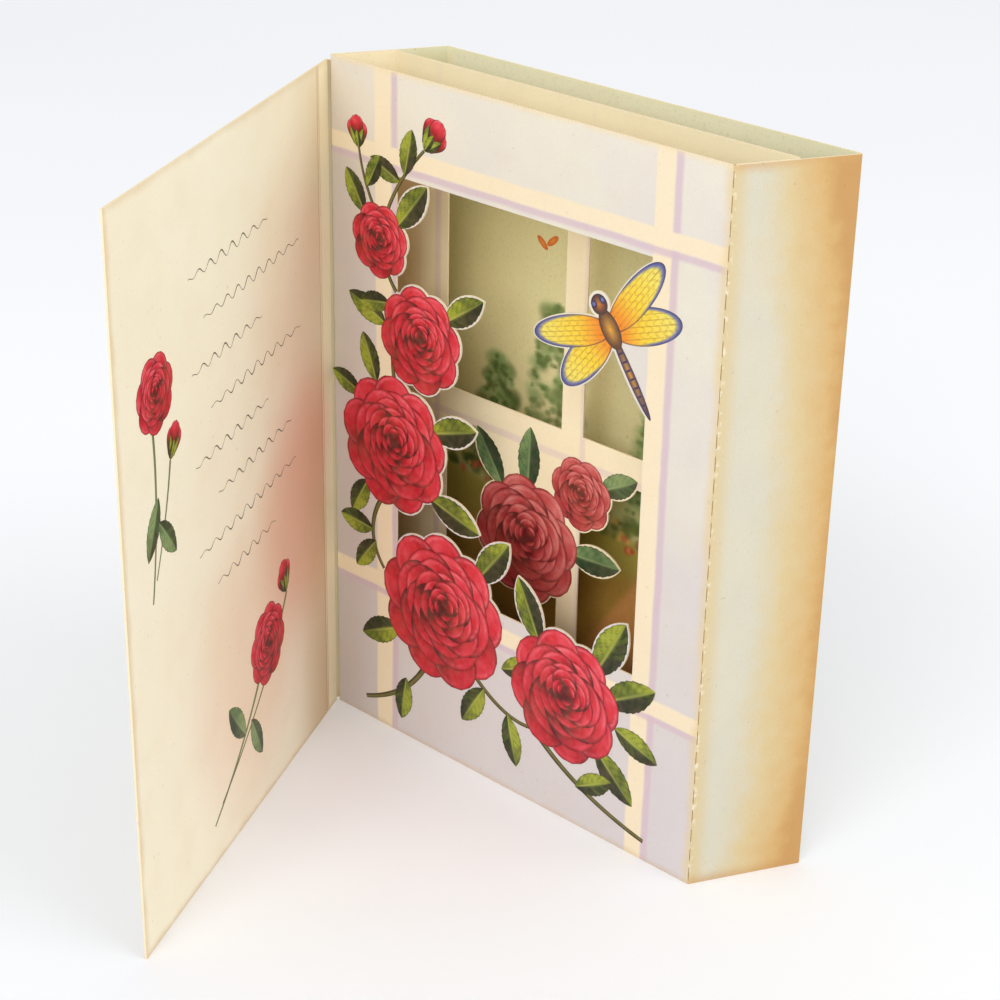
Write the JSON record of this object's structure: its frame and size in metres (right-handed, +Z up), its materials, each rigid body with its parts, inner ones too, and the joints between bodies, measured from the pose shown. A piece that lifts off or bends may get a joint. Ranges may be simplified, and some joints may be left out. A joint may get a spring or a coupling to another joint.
{
  "type": "pop up card",
  "caption": "Standing greeting card: a shallow open-ended card box with a die-cut window, a second window layer inside, and a hinged cover leaf.",
  "frame": {"origin": "middle of the front panel's lower edge, halfway through the card", "axes": "+Z up along the folds, +X along the front panel to the right as seen from the front, -Y out of the front panel"},
  "size_m": [0.1169, 0.1168, 0.1524],
  "materials": {
    "box_card": "matt printed card, aged cream, tan towards the back fold",
    "layer_card": "matt printed card, cream",
    "cover_card": "matt printed card, cream"
  },
  "bodies": {
    "box": {"box_sheet": "box_card", "window_layer": "layer_card"},
    "cover": {"cover_leaf": "cover_card"}
  },
  "joints": [
    {"name": "cover_hinge", "type": "hinge", "parent": "box", "child": "cover", "pos_m": [-0.0525, -0.00045, 0], "axis": [0, 0, 1], "range_deg": [-116, 63]}
  ]
}
